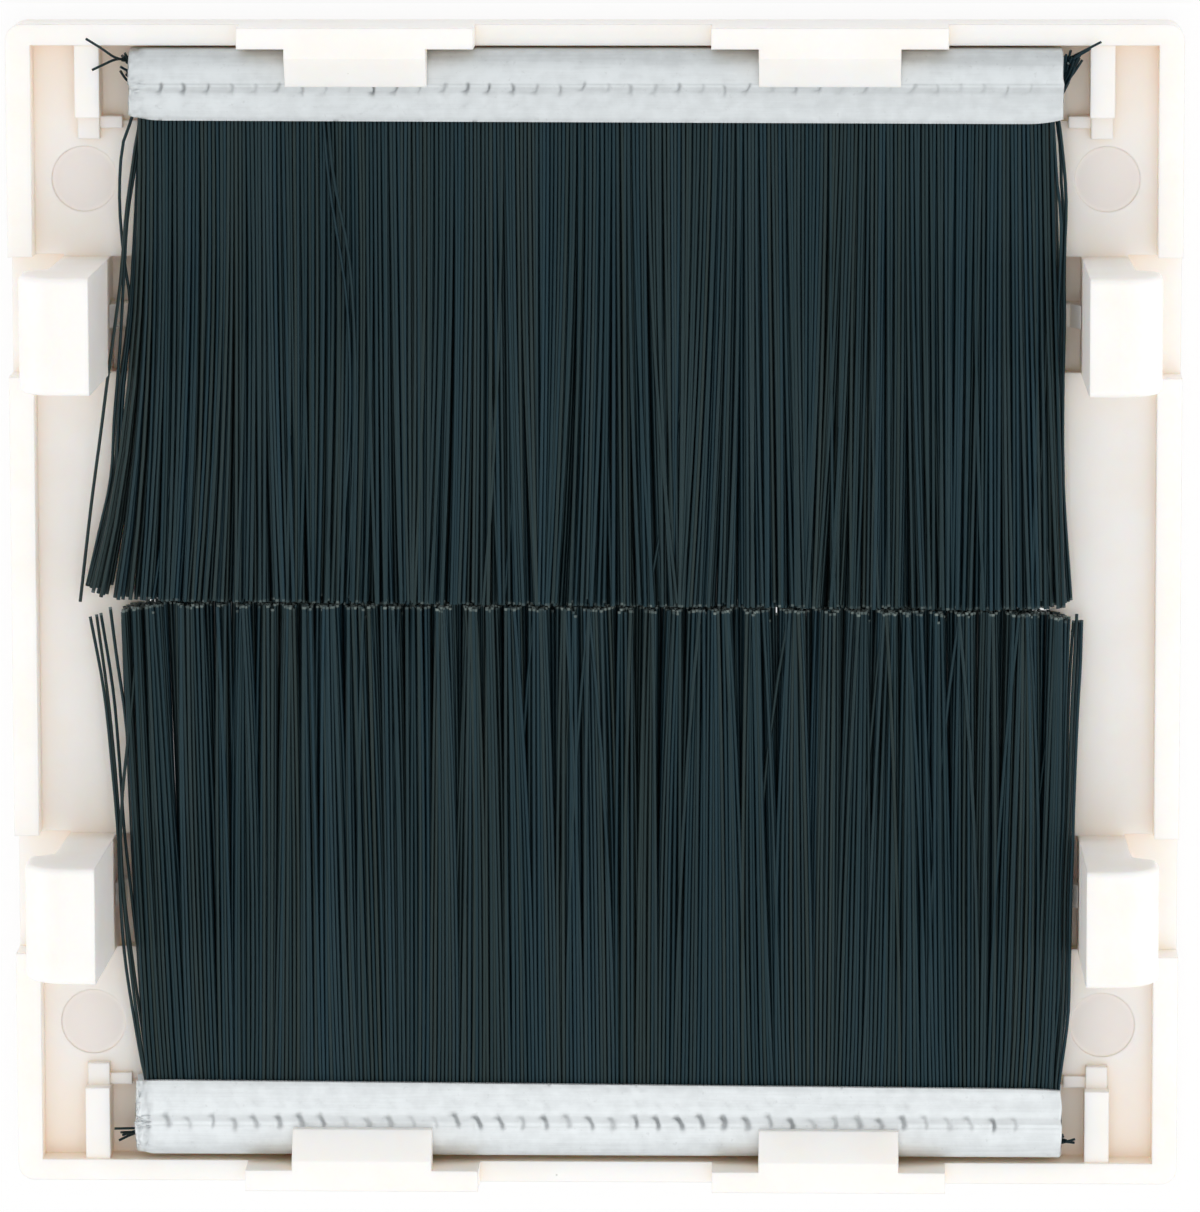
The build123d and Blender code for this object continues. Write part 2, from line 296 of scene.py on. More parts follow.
def plated_metal(metal):
    """Dull plated strip with drawing streaks along it, a mottled bloom, small dark pits, and crimp marks, creases and
    ends painted darker with dirt and painted shade.
    """
    material, start, shader = start_material("plated_metal")
    streaks = noise(in_millimetres(start, (0.04, 1.0, 1.0)), 6.0, 4.0, 0.65)
    bands = noise(in_millimetres(start, (0.008, 1.0, 0.6)), 1.1, 1.0)
    place = in_millimetres(start)
    bloom = noise(place, 1.6, 3.0)
    grain = noise(place, 14.0, 3.0, 0.6)
    pits = between(noise(place, 4.2, 3.0, 0.6), 0.62, 0.76)
    crimp = start.node("ShaderNodeAttribute", {"attribute_name": "crimp"}, {}, output="Fac")
    dull, dark_pit, dirt_and_shade_colour = dimmed(metal, 0.84), (0.30, 0.31, 0.32), (0.22, 0.235, 0.245)
    mottle = streaks * 0.35 + bloom * 0.3 + bands * 0.35
    colour = mix(between(mottle, 0.38, 0.62), dull, metal)
    colour = mix(pits * 0.22, colour, dark_pit)
    # Darker in the crimp marks, the creases and at the ends: dirt and painted shade together
    colour = mix(crimp, colour, dirt_and_shade_colour)
    height = streaks * 0.5 + grain * 0.5 - pits * 0.4
    bump = start.node("ShaderNodeBump", {}, {"Strength": 0.7, "Distance": 0.008 * MM, "Height": height})
    feed(shader, {"Base Color": colour, "Roughness": between(streaks, 0.3, 0.7, 0.48, 0.62), "Normal": bump})
    shader.inputs["Metallic"].default_value = 0.5
    return material


def drawn_wire(settings):
    """Plain steel wire with draw marks along it."""
    material, start, shader = start_material("drawn_wire")
    marks = noise(in_millimetres(start, (0.05, 1.0, 1.0)), 12.0, 3.0)
    dull = dimmed(settings.wire, 0.7)
    bump = start.node("ShaderNodeBump", {}, {"Strength": 0.5, "Distance": 0.006 * MM, "Height": marks})
    colour = mix(between(marks, 0.35, 0.65), dull, settings.wire)
    feed(shader, {"Base Color": colour, "Roughness": between(marks, 0.3, 0.7, 0.3, 0.45), "Normal": bump})
    shader.inputs["Metallic"].default_value = 1.0
    return material


def black_nylon(settings):
    """Blue-black filament, a little different from one to the next, with a painted highlight on its cut ends."""
    material, start, shader = start_material("black_nylon")
    tone = start.node("ShaderNodeAttribute", {"attribute_name": "tone"}, {}, output="Fac")
    # The cut attribute holds the painted highlight on the cut ends
    cut = start.node("ShaderNodeAttribute", {"attribute_name": "cut"}, {}, output="Fac")
    along = noise(in_millimetres(start, (1.0, 0.12, 1.0)), 3.0, 2.0)
    colour = mix(tone * 0.7 + along * 0.3, settings.nylon_dark, settings.nylon_light)
    warmth = start.node("ShaderNodeAttribute", {"attribute_name": "warmth"}, {}, output="Fac")
    colour = mix(warmth * 0.55, colour, settings.nylon_warm)
    colour = mix(cut, colour, settings.cut_highlight_colour)
    draw_marks = noise(in_millimetres(start, (1.0, 0.05, 1.0)), 22.0, 2.0)
    bump = start.node("ShaderNodeBump", {}, {"Strength": 0.35, "Distance": 0.006 * MM, "Height": draw_marks})
    feed(shader, {"Base Color": colour, "Roughness": between(along, 0.3, 0.7, 0.30, 0.42), "Normal": bump})
    shader.inputs["IOR"].default_value = 1.33
    shader.inputs["Specular Tint"].default_value = (0.62, 0.96, 1.0, 1.0)
    return material


def add_piece(name, corners, faces, material):
    """A new mesh piece that rides on the part, with its corners given in millimetres."""
    mesh = bpy.data.meshes.new(name)
    mesh.from_pydata((np.asarray(corners) * MM).tolist(), [], faces)
    mesh.materials.append(material)
    mesh.polygons.foreach_set("use_smooth", [True] * len(mesh.polygons))
    piece = bpy.data.objects.new(name, mesh)
    bpy.context.scene.collection.objects.link(piece)
    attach(piece, "root")
    return piece


def tubes(routes, radii, sides):
    """Corners and faces of closed round tubes, one along each route of equally many points."""
    count, rings, _ = routes.shape
    along = np.gradient(routes, axis=1)
    along /= np.linalg.norm(along, axis=2, keepdims=True)
    across = np.cross(along, (0.0, 0.0, 1.0))
    across /= np.linalg.norm(across, axis=2, keepdims=True)
    up = np.cross(across, along)
    turns = np.arange(sides) * tau / sides
    round_off = across[:, :, None] * np.cos(turns)[:, None] + up[:, :, None] * np.sin(turns)[:, None]
    corners = routes[:, :, None] + radii[:, None, None, None] * round_off
    starts = np.arange(count)[:, None, None] * rings * sides
    first = starts + np.arange(rings - 1)[:, None] * sides + np.arange(sides)
    second = starts + np.arange(rings - 1)[:, None] * sides + (np.arange(sides) + 1) % sides
    walls = np.stack([first, first + sides, second + sides, second], axis=-1).reshape(-1, 4)
    roots = starts[:, 0] + np.arange(sides)
    tips = starts[:, 0] + (rings - 1) * sides + np.arange(sides)[::-1]
    return corners.reshape(-1, 3), walls.tolist() + roots.tolist() + tips.tolist()


def waves(x, size, widths, rng):
    """Waves of one size and of several widths, added up over places along the channel."""
    return sum(size * np.sin(x * tau / width + rng.uniform(0, tau)) for width in widths)


def add_tubes(name, groups, sides, rng, cut_highlight_strength, material):
    """A piece of tubes in groups of routes and radii. Each tube has its own tone, warmth and painted highlight on its
    cut end.
    """
    corners, faces, tones, cut_highlights, warmths = [], [], [], [], []
    for routes, radii in groups:
        routes = np.array(routes)
        count, rings, _ = routes.shape
        tube_corners, tube_faces = tubes(routes, np.asarray(radii), sides)
        offset = sum(len(group) for group in corners)
        corners.append(tube_corners)
        faces += [[corner + offset for corner in face] for face in tube_faces]
        root_x = routes[:, 0, 0]
        bands = waves(root_x, *TONE_WAVES, rng)
        tone = np.clip(rng.normal(TONE_MEAN, TONE_SPREAD, count) + bands, 0.0, 1.0)
        drift = waves(root_x, *WARMTH_WAVES, rng)
        edge_warmth = EDGE_WARMTH * np.exp((LEFT_EDGE - root_x) / EDGE_FADE)
        warmth = np.clip(rng.normal(WARMTH_MEAN, WARMTH_SPREAD, count) + drift + edge_warmth, 0.0, 1.0)
        # How strong each filament's painted highlight on its cut end is
        cut = np.clip(rng.normal(cut_highlight_strength, CUT_HIGHLIGHT_SPREAD, count), 0.0, 1.0)
        wall_cut_highlights = np.zeros((count, rings - 1, sides))
        wall_cut_highlights[:, -1] = cut[:, None]
        tones += [np.repeat(tone, (rings - 1) * sides), tone, tone]
        cut_highlights += [wall_cut_highlights.ravel(), np.zeros(count), cut]
        warmths += [np.repeat(warmth, (rings - 1) * sides), warmth, warmth]
    piece = add_piece(name, np.concatenate(corners), faces, material)
    # The cut attribute carries the painted highlight on the cut ends
    for label, values in (("tone", tones), ("cut", cut_highlights), ("warmth", warmths)):
        values = np.concatenate(values).astype(np.float32)
        piece.data.attributes.new(label, "FLOAT", "FACE").data.foreach_set("value", values)
    piece.data.set_sharp_from_angle(angle=TUBE_EDGE)
    return piece


def smooth_route(points, rings, end_step=END_STEP):
    """Evenly spaced places on a smooth line through the points, with one last short step."""
    points = np.asarray(points, float)
    steps = np.concatenate([[0.0], np.cumsum(np.linalg.norm(np.diff(points, axis=0), axis=1))])
    slopes = np.gradient(points, steps, axis=0)
    places = np.append(np.linspace(0.0, steps[-1] - end_step, rings - 1), steps[-1])
    run = np.clip(np.searchsorted(steps, places, side="right") - 1, 0, len(points) - 2)
    length = (steps[run + 1] - steps[run])[:, None]
    part = (places - steps[run])[:, None] / length
    back, rest = part**2 * (3 - 2 * part), part * (1 - part)
    tangents = (slopes[run] * (1 - part) - slopes[run + 1] * part) * rest * length
    return points[run] * (1 - back) + points[run + 1] * back + tangents


def towards_edges(x, left, right, middle=0.0):
    """A middle value and what the edges add to it, each by its size, its place and the width of its fading."""
    left_size, left_place, left_width = left
    right_size, right_place, right_width = right
    left_part = left_size * np.exp(-(x - left_place) / left_width)
    return left_part + middle + right_size * np.exp((x - right_place) / right_width)


class StripBrush(NamedTuple):
    """What differs from one brush to the other, with lengths in millimetres."""

    name: str
    side: int  # 1 where the channel is on +Y, -1 where it is on -Y
    seed: int
    seam: float  # y of the cut tips where x is 0
    edges: tuple  # x of the outermost filaments in the channel
    bends: tuple  # how late along its length a filament at each edge turns outward
    splay: tuple  # how far tips stand from their roots, for towards_edges
    shortfall: tuple  # how much shorter the filaments at the edges are, for towards_edges
    clump_width: float
    cut_highlight_strength: float  # how strong the painted highlight on the cut ends is


BRUSHES = (
    StripBrush(
        name="upper", side=1, seed=11, seam=0.14, edges=(-19.33, 19.45), bends=(2.5, 1.0),
        splay=((-2.75, -19.33, 1.0), (0.70, 19.45, 2.0), -0.12),
        shortfall=((0.12, -20.9, 0.6), (0.16, 20.2, 0.9)),
        clump_width=0.7, cut_highlight_strength=0.0,
    ),
    StripBrush(
        name="lower", side=-1, seed=23, seam=0.06, edges=(-19.35, 19.60), bends=(0.8, 0.7),
        splay=((-0.85, -19.35, 2.5), (0.46, 19.60, 2.5)),
        shortfall=((0.22, -20.0, 0.8), (0.20, 20.1, 0.9)),
        clump_width=0.8, cut_highlight_strength=0.5,
    ),
)

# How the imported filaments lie, with lengths in millimetres
LAYER_SHIFTS, FIRST_SHIFT = (0.0, 0.5, 0.25, 0.75), 0.1  # in pitches, so that no gap runs through all layers
ROOT_DEPTH = 0.75  # of the roots behind the channel's mouth
PACK_HEIGHT, TIP_FAN = 1.06, 0.4  # between the outer layers at the mouth, and what is added at the tips
ROOT_SCATTER, HEIGHT_SCATTER, BOW_SCATTER = 0.01, 0.05, 0.035
TIP_SCATTER, TOP_SCATTER = 0.02, 0.09  # in the lowest layer, and what is added in the highest
LATE_BEND = 2.2  # how late along a filament its tip's own scatter sets in
CLUMP_COUNT, CLUMP_SPAN, CLUMP_START = 80, (0.25, 2.2), 3.5  # spans in clump widths, from left of the edge
GATHER_SPAN, CLUMP_LEAN = (0.4, 1.4), 0.14  # shares of the clumping, and spread of the clumps' leans
LEAN_WAVES, LEAN_SIZE, LEAN_SPAN = 4, 0.20, (3.0, 9.0)  # waves of lean along the channel, and their widths
CROSS_LAYER, CROSS_CHANCE, CROSS_SCATTER, CROSS_LIFT = 3, 0.07, 0.6, 0.08  # some above this layer cross others
SHORT_CHANCE, SHORT_SPAN = 0.03, (0.1, 0.45)  # some are cut short
SEAM_SLOPE = -0.0086  # change of the seam's y for each millimetre of x
SEAM_END, SEAM_FADE, OVERREACH = 20.0, 2.5, 0.16  # up to this x the deep layers reach over the seam
EDGE_MARGIN = 0.05  # of the outermost tips beyond their splay


def pack_routes(settings, rng, mouth, brush, clumping):
    """Routes of a brush's filaments from the channel to the tips, in millimetres."""
    axis_z = (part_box("upper_channel")[0].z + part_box("upper_channel")[1].z) / 2 / MM
    left, right = brush.edges
    per_layer, layers, rings = settings.filaments_per_layer, settings.layers, settings.filament_rings
    borders = np.cumsum(rng.uniform(*CLUMP_SPAN, CLUMP_COUNT) * brush.clump_width) + left - CLUMP_START
    middles = (borders[1:] + borders[:-1]) / 2
    gathered = clumping * rng.uniform(*GATHER_SPAN, len(middles))
    clump_leans = rng.normal(0.0, CLUMP_LEAN, len(middles))
    leans = [
        (rng.uniform(0.5, 1.0) * LEAN_SIZE, tau / rng.uniform(*LEAN_SPAN), rng.uniform(0, tau))
        for _ in range(LEAN_WAVES)
    ]
    lowest_tip = left + towards_edges(left, *brush.splay) - EDGE_MARGIN
    highest_tip = right + towards_edges(right, *brush.splay) + EDGE_MARGIN
    parts = np.linspace(0.0, 1.0, rings - 1)
    routes = []
    for layer in range(layers):
        upper_share = layer / (layers - 1)
        height = upper_share - 0.5
        spread = TIP_SCATTER + TOP_SCATTER * upper_share**1.5
        for number in range(per_layer):
            place = (number + LAYER_SHIFTS[layer % len(LAYER_SHIFTS)] + FIRST_SHIFT) / per_layer
            root_x = left + place * (right - left) + rng.normal(0.0, ROOT_SCATTER)
            lean = towards_edges(root_x, *brush.splay)
            lean += sum(size * sin(pace * root_x + start) for size, pace, start in leans)
            splayed = root_x + lean
            tip_x = splayed + rng.normal(0.0, spread)
            crosses = layer > CROSS_LAYER and rng.random() < CROSS_CHANCE
            if crosses:
                tip_x += rng.normal(0.0, CROSS_SCATTER)
            clump = np.abs(middles - tip_x).argmin()
            tip_x += upper_share**2 * (gathered[clump] * (middles[clump] - tip_x) + clump_leans[clump])
            tip_x = min(max(tip_x, lowest_tip), highest_tip)
            closed = min(max((SEAM_END - abs(tip_x)) / SEAM_FADE, 0.0), 1.0)
            cut_back = abs(rng.normal(0.0, settings.ragged_cut / MM)) - OVERREACH * (1.0 - upper_share) * closed
            cut_back += (rng.random() < SHORT_CHANCE) * rng.uniform(*SHORT_SPAN)
            cut_back += towards_edges(tip_x, *brush.shortfall)
            tip_y = brush.seam + SEAM_SLOPE * tip_x + brush.side * cut_back
            root_y = mouth + brush.side * ROOT_DEPTH
            reach = root_y + (tip_y + brush.side * END_STEP - root_y) * parts
            bow = rng.normal(0.0, BOW_SCATTER)
            bend = np.interp(root_x, brush.edges, brush.bends)
            x = root_x + lean * parts**bend + (tip_x - splayed) * parts**LATE_BEND + bow * np.sin(pi * parts)
            rise = TIP_FAN * height + CROSS_LIFT * crosses + rng.normal(0.0, HEIGHT_SCATTER)
            route = np.stack([x, reach, axis_z + PACK_HEIGHT * height + rise * parts], axis=1)
            last_step = route[-1] - route[-2]
            tip = route[-1] + last_step * (END_STEP / np.linalg.norm(last_step))
            routes.append(np.vstack([route, tip]))
    return routes


class BRUSHMODULE_OT_stage(Operator):
    """Sets up the camera, the floor, the softboxes and the pale surroundings."""

    bl_idname = "brushmodule.stage"
    bl_label = "Set the stage"

    def execute(self, context):
        settings = context.scene.module_stage
        camera_data = bpy.data.cameras.new("camera")
        camera_data.sensor_fit = "VERTICAL"
        camera_data.sensor_height = CAMERA_SENSOR
        camera_data.lens = CAMERA_LENS
        camera_data.shift_x, camera_data.shift_y = CAMERA_SHIFT
        camera_data.clip_start = 0.01
        camera = bpy.data.objects.new("camera", camera_data)
        camera.location = settings.camera_place
        camera.rotation_euler = settings.camera_turn
        context.scene.collection.objects.link(camera)
        context.scene.camera = camera
        context.scene.view_settings.view_transform = "Standard"
        self.add_floor(context.scene, settings)
        self.add_lamps(context.scene, settings)
        self.add_surroundings(context.scene, settings)
        return {"FINISHED"}

    def add_floor(self, scene, settings):
        mesh = bpy.data.meshes.new("floor")
        cells, half, below, glow_share = 24, 0.9, 0.02 * MM, 0.85
        line = np.linspace(-half, half, cells + 1)
        corners = [(x, y, -below) for y in line for x in line]
        starts = [row * (cells + 1) + cell for row in range(cells) for cell in range(cells)]
        faces = [(start, start + 1, start + cells + 2, start + cells + 1) for start in starts]
        mesh.from_pydata(corners, [], faces)
        material, start, shader = start_material("pale_floor")
        cloud = noise(in_millimetres(start), 0.02, 2.0)
        floor_colour = mix(between(cloud, 0.3, 0.7), settings.floor_colour, dimmed(settings.floor_colour, 0.99))
        feed(shader, {"Base Color": floor_colour})
        shader.inputs["Roughness"].default_value = 0.7
        glow = start.node("ShaderNodeEmission", {}, {"Color": (1.0, 1.0, 1.0, 1.0), "Strength": 1.0})
        surface = Shade(material.node_tree, shader.outputs[0])
        seen = start.node("ShaderNodeMixShader", {}, {0: background_rays(start) * glow_share, 1: surface, 2: glow})
        output = next(node for node in material.node_tree.nodes if node.type == "OUTPUT_MATERIAL")
        material.node_tree.links.new(seen.socket, output.inputs["Surface"])
        mesh.materials.append(material)
        floor = bpy.data.objects.new("floor", mesh)
        scene.collection.objects.link(floor)

    def add_lamps(self, scene, settings):
        # Name, place, size and share of the power
        lamps = (
            ("overhead_softbox", (0.05, -0.12, 0.60), 0.40, 0.45),
            ("left_softbox", (-0.62, -0.08, 0.14), 0.26, 0.45),
            ("right_softbox", (0.62, -0.08, 0.14), 0.26, 0.52),
        )
        for name, place, size, share in lamps:
            light = bpy.data.lights.new(name, "AREA")
            light.shape = "SQUARE"
            light.size = size
            light.energy = settings.lamp_power * share
            lamp = bpy.data.objects.new(name, light)
            lamp.location = place
            lamp.rotation_euler = (-Vector(place)).to_track_quat("-Z", "Y").to_euler()
            scene.collection.objects.link(lamp)

    def add_surroundings(self, scene, settings):
        world = bpy.data.worlds.new("surroundings")
        world.use_nodes = True
        start = Shade(world.node_tree)
        background = next(node for node in world.node_tree.nodes if node.type == "BACKGROUND")
        background.inputs["Color"].default_value = (1.0, 1.0, 1.0, 1.0)
        strength = background_rays(start) * (1.0 - settings.sky_level) + settings.sky_level
        world.node_tree.links.new(strength.socket, background.inputs["Strength"])
        scene.world = world


class BRUSHMODULE_OT_moulding(Operator):
    """Gives the moulding its plastic."""

    bl_idname = "brushmodule.moulding"
    bl_label = "Finish the moulding"

    def execute(self, context):
        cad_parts["frame"].material_slots[0].material = moulded_plastic(context.scene.module_moulding)
        return {"FINISHED"}


class BRUSHMODULE_OT_core_wires(Operator):
    """Gives the core wires in the channels their drawn steel."""

    bl_idname = "brushmodule.core_wires"
    bl_label = "Finish the core wires"

    def execute(self, context):
        material = drawn_wire(context.scene.module_channel)
        for name in ("upper_core_wire", "lower_core_wire"):
            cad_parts[name].material_slots[0].material = material
        return {"FINISHED"}


def hump(distance, width, power=2):
    """One at no distance, fading over the width."""
    return np.exp(-((distance / width) ** power))


class ChannelStrip(NamedTuple):
    """What differs from one channel to the other, with lengths in millimetres."""

    name: str
    side: int  # 1 where the channel is on +Y, -1 where it is on -Y
    seed: int
    mark_run: float  # from the mouth to the middle of the crimp marks
    mark_reach: float  # half the length of a mark
    mark_depths: tuple  # shares of the full depth at the left end, at 35 % of the length and at the right end
    boldness: float  # how wide and dirty the marks are
    flare: float  # how far the left end is pressed down
    lumps: float  # how wide the marks are, and how dark they are painted with dirt and painted shade
    curl: float  # how far the lip's ends stay behind its middle
    skew: tuple  # how far the lip stands out at the middle, and the change for each millimetre of x


CHANNELS = (
    ChannelStrip("upper", 1, 5, 1.33, 0.22, (0.85, 0.75, 0.35), 1.0, 0.10, 0.10, 0.20, (0.12, 0.0036)),
    ChannelStrip("lower", -1, 9, 1.40, 0.27, (0.7, 1.0, 1.0), 1.6, 0.22, 0.16, 0.08, (0.20, -0.0065)),
)


class BRUSHMODULE_OT_channels(Operator):
    """Builds the two crimped metal channels, with their crimp marks, lips and ragged ends."""

    bl_idname = "brushmodule.channels"
    bl_label = "Build the channels"

    # The section in millimetres: depth of the lips, then the crimp band with its step, and half the mouth's height
    lip_run, band_width, press_width, mouth_half = 1.1, 0.65, 0.3, 1.0
    crimp_share, lip_round = 0.89, 0.15  # the band's height against the crown's, and the roundness of the lips
    first_mark, last_mark, mark_span = 1.5, 1.3, (-0.26, 0.22)  # from each end, and a mark's closely meshed part
    even_step, nearest_step = 0.14, 0.012
    end_steps = np.array([0.0, 0.03, 0.08, 0.14, 0.22, 0.31, 0.41, 0.52, 0.64, 0.77])
    flare_length, lump_length, curl_length, rag_length, round_length = 0.75, 0.7, 1.6, 0.3, 0.14
    rag_depth, round_depth, step_depth = 0.11, 0.10, 0.03
    # How dark the channels' ends are painted, the most that the dirt and painted shade may reach, and the length over
    # which the ends darken
    end_dirt, most_dirt, end_dirt_length = 0.35, 0.75, 0.06  # two shares, and a length

    def execute(self, context):
        settings = context.scene.module_channel
        metals = (settings.upper_metal, settings.lower_metal)
        pitches = (settings.upper_crimp_pitch, settings.lower_crimp_pitch)
        for strip, metal, pitch in zip(CHANNELS, metals, pitches):
            material = plated_metal(metal)
            corners, faces, dirt_and_shade = self.channel(settings, strip, pitch / MM, np.random.default_rng(strip.seed))
            name = strip.name
            piece = add_piece(f"{name}_channel_sheet", corners, faces, material)
            # The crimp attribute carries the painted darkening: dirt and painted shade
            piece.data.attributes.new("crimp", "FLOAT", "POINT").data.foreach_set("value", dirt_and_shade.astype(np.float32))
            piece.data.set_sharp_from_angle(angle=SHEET_EDGE)
            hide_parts(f"{name}_channel")
        return {"FINISHED"}

    def section(self, depth, radius, sheet):
        """Outer and inner outline from the upper lip round the back to the lower lip, mouth at zero."""
        middle = depth - radius
        band_end = self.lip_run + self.band_width
        lip = np.linspace(0.0, self.lip_run, 12)[:-1]
        crimp_band = np.linspace(self.lip_run, band_end, 15)[:-1]
        shoulder = band_end + (depth - band_end) * np.sin(np.linspace(0.0, 1.0, 15) * pi / 2)
        upper_run = np.concatenate([lip, crimp_band, shoulder])
        swell = radius * (1.0 - np.clip(np.abs(upper_run - middle) / radius, 0.0, 1.0) ** 3) ** (1 / 3)
        press = np.clip((upper_run - self.lip_run) / self.press_width, 0.0, 1.0)
        crimp_half = self.crimp_share * radius
        opening = self.mouth_half + (crimp_half - self.mouth_half) * np.clip(upper_run / self.lip_run, 0.0, 1.0)
        half = np.where(upper_run > self.lip_run, crimp_half + (swell - crimp_half) * press, opening)
        half[-1] = 0.0
        upper = np.stack([upper_run, half], axis=1)
        under = upper[:-1][::-1][::2] * (1.0, -1.0)
        outer = np.concatenate([upper, under])
        along = np.gradient(outer, axis=0)
        along /= np.linalg.norm(along, axis=1, keepdims=True)
        inner = outer + sheet * np.stack([along[:, 1], -along[:, 0]], axis=1)
        inner[0, 0] = inner[-1, 0] = 0.0
        for lip_edge in (0, -1):
            outer[lip_edge] = outer[lip_edge] * (1.0 - self.lip_round) + inner[lip_edge] * self.lip_round
        return outer, inner

    def crimp_dents(self, marks, depths, x, run, rng, strip):
        """Depth of the crimp marks over the channel's back and how dark they are painted, dirt and painted shade
        together: slanting hooks with a raised side, a nick at the lip and a faint twin. Each is a hump at an offset,
        with a width, in millimetres."""
        dents = np.zeros((len(x), len(run)))
        dirt_and_shade = np.zeros_like(dents)
        for mark, depth in zip(marks, depths):
            centre = strip.mark_run + rng.normal(0.0, 0.04)
            across = (run[None] - centre) / strip.mark_reach
            along = x[:, None] - mark - rng.normal(0.0, 0.03) - rng.uniform(-0.02, 0.10) * across + 0.05 * across**2
            high = hump(across, 1.0, 4)
            groove = hump(along, rng.uniform(0.04, 0.08) * strip.boldness) * high
            raised = hump(along + 0.19, 0.10) * high * rng.uniform(0.0, 1.0)
            hook = hump(along + 0.08, 0.13) * hump(across + 0.9, 0.3)
            nick = hump(along, 0.14) * hump(run[None] - 0.08, 0.10)
            faint = hump(along - 0.45, 0.10) * hump(run[None] - centre + 0.72, 0.12)
            form = groove + rng.uniform(0.2, 0.9) * hook - 0.35 * raised + rng.uniform(0.2, 0.6) * nick + 0.3 * faint
            dents += depth * form
            dirt = 0.75 * groove + strip.boldness * rng.uniform(0.2, 0.6) * hook + 0.15 * faint
            dirt_and_shade += depth / depths.max() * dirt
        return dents, np.clip(dirt_and_shade, 0.0, self.most_dirt)

    def stations(self, marks, length):
        """Places along the channel where its sections stand: close at the marks and at both ends."""
        even = np.arange(0.9, length - 0.85, self.even_step)
        fine = (marks[:, None] + np.linspace(*self.mark_span, 13)).ravel()
        x = np.unique(np.round(np.concatenate([even, fine, self.end_steps, length - self.end_steps]), 3))
        x = x[np.concatenate([[True], np.diff(x) > self.nearest_step])]
        x[-1] = length
        return x

    def crease(self, strip, x, run, length, rng):
        """Darkening, dirt and painted shade together, in the patchy line beside the upper marks, or in the fold round
        the lower channel's left end.
        """
        patchy = 0.65 + 0.35 * np.interp(x, np.linspace(0.0, length, 60), rng.uniform(-1.0, 1.0, 60))[:, None]
        if strip.side > 0:
            return 0.24 * patchy * hump(run[None] - strip.mark_run - 0.19, 0.04)
        return 0.35 * patchy * hump(x[:, None] - 0.38 - 0.25 * np.sin(pi * run / run.max())[None], 0.05)

    def channel(self, settings, strip, pitch, rng):
        """Corners and faces of one channel in millimetres, and how dark each corner is painted, with dirt and painted
        shade.
        """
        name = strip.name
        low, high = (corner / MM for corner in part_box(f"{name}_channel"))
        axis_z, radius = (low.z + high.z) / 2, (high.z - low.z) / 2
        mouth, length = (low.y if strip.side > 0 else high.y), high.x - low.x
        outer, inner = self.section(high.y - low.y, radius, settings.sheet / MM)
        marks = np.arange(self.first_mark, length - self.last_mark, pitch)
        x = self.stations(marks, length)
        end = np.minimum(x, length - x)
        run = outer[:, 0]
        depths = np.interp(marks / length, (0.0, 0.35, 1.0), strip.mark_depths)
        depths *= settings.crimp_depth / MM * rng.uniform(0.3, 1.0, len(marks))
        dents, dirt_and_shade = self.crimp_dents(marks, depths, x, run, rng, strip)
        pressed = self.step_depth * np.clip((strip.mark_run + 0.2 - run) / 0.05, 0.0, 1.0)[None]
        upper_face = (outer[:, 1] > 0)[None]
        flared = strip.flare * np.clip(1.0 - x / self.flare_length, 0.0, 1.0)[:, None] ** 1.5
        lumps = rng.uniform(-1.0, 1.0, (len(x), len(run))) * (x < self.lump_length)[:, None] * strip.lumps
        rounded = self.round_depth * np.clip(1.0 - end / self.round_length, 0.0, 1.0)[:, None] ** 2
        thinned = (dents + pressed + np.clip(lumps, 0.0, 1.0) + flared) * upper_face + rounded
        outward = (outer - inner) / np.linalg.norm(outer - inner, axis=1, keepdims=True)
        skew = strip.skew[0] + strip.skew[1] * (x + low.x)
        curl = strip.curl * np.clip(1.0 - end / self.curl_length, 0.0, 1.0) ** 2
        lean = (curl - skew)[:, None] * np.clip(1.0 - run / self.lip_run, 0.0, 1.0)[None]
        spots = np.linspace(0.0, len(run) - 1.0, 10)
        left_rag, right_rag = (
            np.interp(np.arange(len(run)), spots, rng.uniform(0.0, self.rag_depth, len(spots))) for _ in range(2)
        )
        ragged = np.clip(1.0 - x / self.rag_length, 0.0, 1.0)[:, None] * left_rag
        ragged -= np.clip(1.0 - (length - x) / self.rag_length, 0.0, 1.0)[:, None] * right_rag
        sheets = []
        for outline, depth in ((outer, thinned), (inner, np.zeros_like(thinned))):
            section = outline[None] - depth[:, :, None] * outward[None]
            places = np.empty((len(x), len(run), 3))
            places[:, :, 0] = low.x + x[:, None] + ragged
            places[:, :, 1] = mouth + strip.side * (section[:, :, 0] + lean)
            places[:, :, 2] = axis_z + section[:, :, 1]
            sheets.append(places.reshape(-1, 3))
        faces = self.shell_faces(len(x), len(run))
        dirt_and_shade = (dirt_and_shade + self.crease(strip, x, run, length, rng)) * upper_face
        dirt_and_shade = (dirt_and_shade + self.end_dirt * np.clip(1.0 - end / self.end_dirt_length, 0.0, 1.0)[:, None]).ravel()
        faces = (faces if strip.side > 0 else faces[:, ::-1]).tolist()
        return np.concatenate(sheets), faces, np.concatenate([dirt_and_shade, np.zeros_like(dirt_and_shade)])

    def shell_faces(self, rows, width):
        """Faces of an outer and an inner sheet of equal grids, closed along their edges."""
        grid = np.arange(rows * width).reshape(rows, width)
        shell = rows * width
        quads = np.stack([grid[:-1, :-1], grid[1:, :-1], grid[1:, 1:], grid[:-1, 1:]], axis=-1).reshape(-1, 4)
        faces = [quads, (quads + shell)[:, ::-1]]
        for edge, flip in ((grid[:, 0], 1), (grid[:, -1], -1), (grid[0], -1), (grid[-1], 1)):
            strip = np.stack([edge[:-1], edge[:-1] + shell, edge[1:] + shell, edge[1:]], axis=-1)
            faces.append(strip[:, ::flip])
        return np.concatenate(faces)


